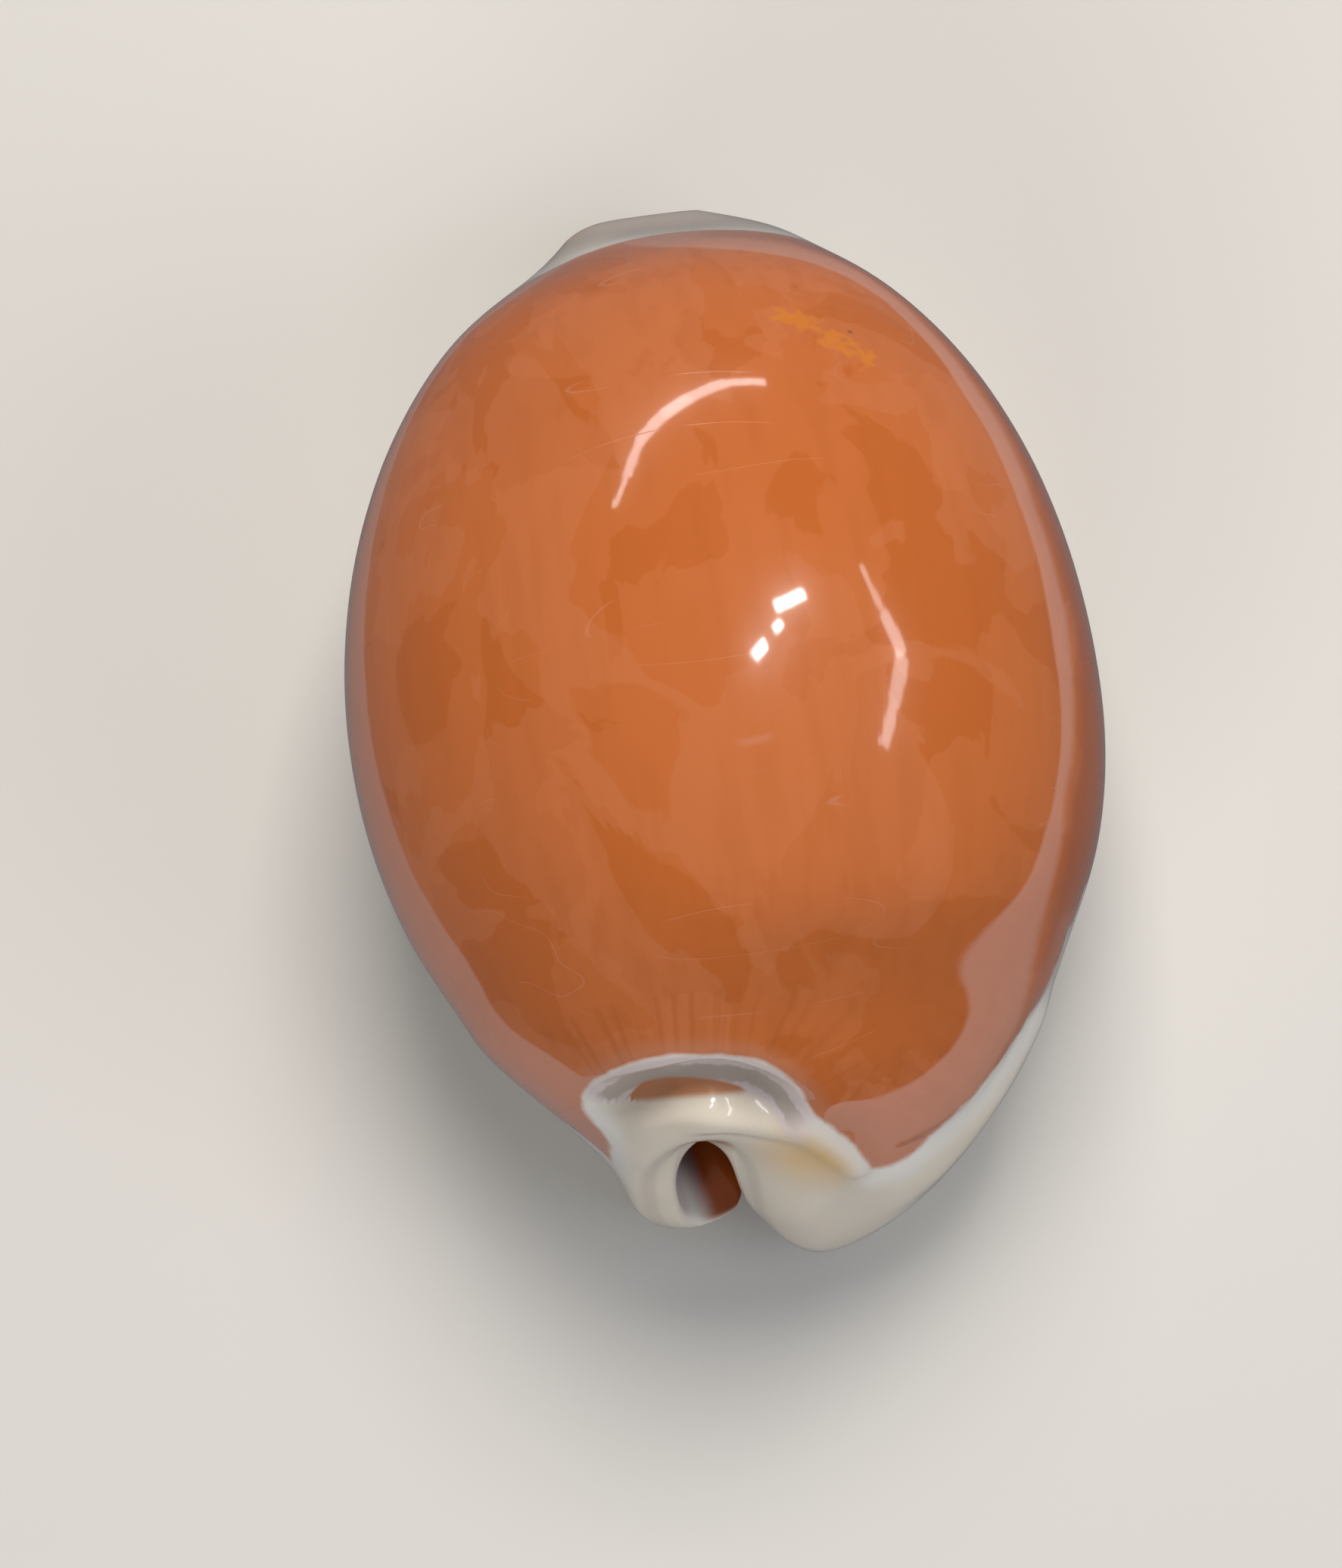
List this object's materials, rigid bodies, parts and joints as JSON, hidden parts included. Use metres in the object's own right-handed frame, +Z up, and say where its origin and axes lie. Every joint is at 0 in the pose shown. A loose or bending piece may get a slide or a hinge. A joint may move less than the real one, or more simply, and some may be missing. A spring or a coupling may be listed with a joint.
{
  "type": "cowrie shell",
  "caption": "Smooth glossy egg-shaped cowrie shell with a toothed slot along its flat base and a notched canal at each end.",
  "frame": {"origin": "bottom centre of the bounding box, level with the flats of the base", "axes": "+X towards the outer lip, +Y towards the front canal, +Z up through the back"},
  "size_m": [0.0646, 0.0936, 0.0538],
  "materials": {
    "shell": "polished natural shell: deep orange back, cream base"
  },
  "bodies": {
    "root": {"cowrie_shell": "shell"}
  },
  "joints": []
}
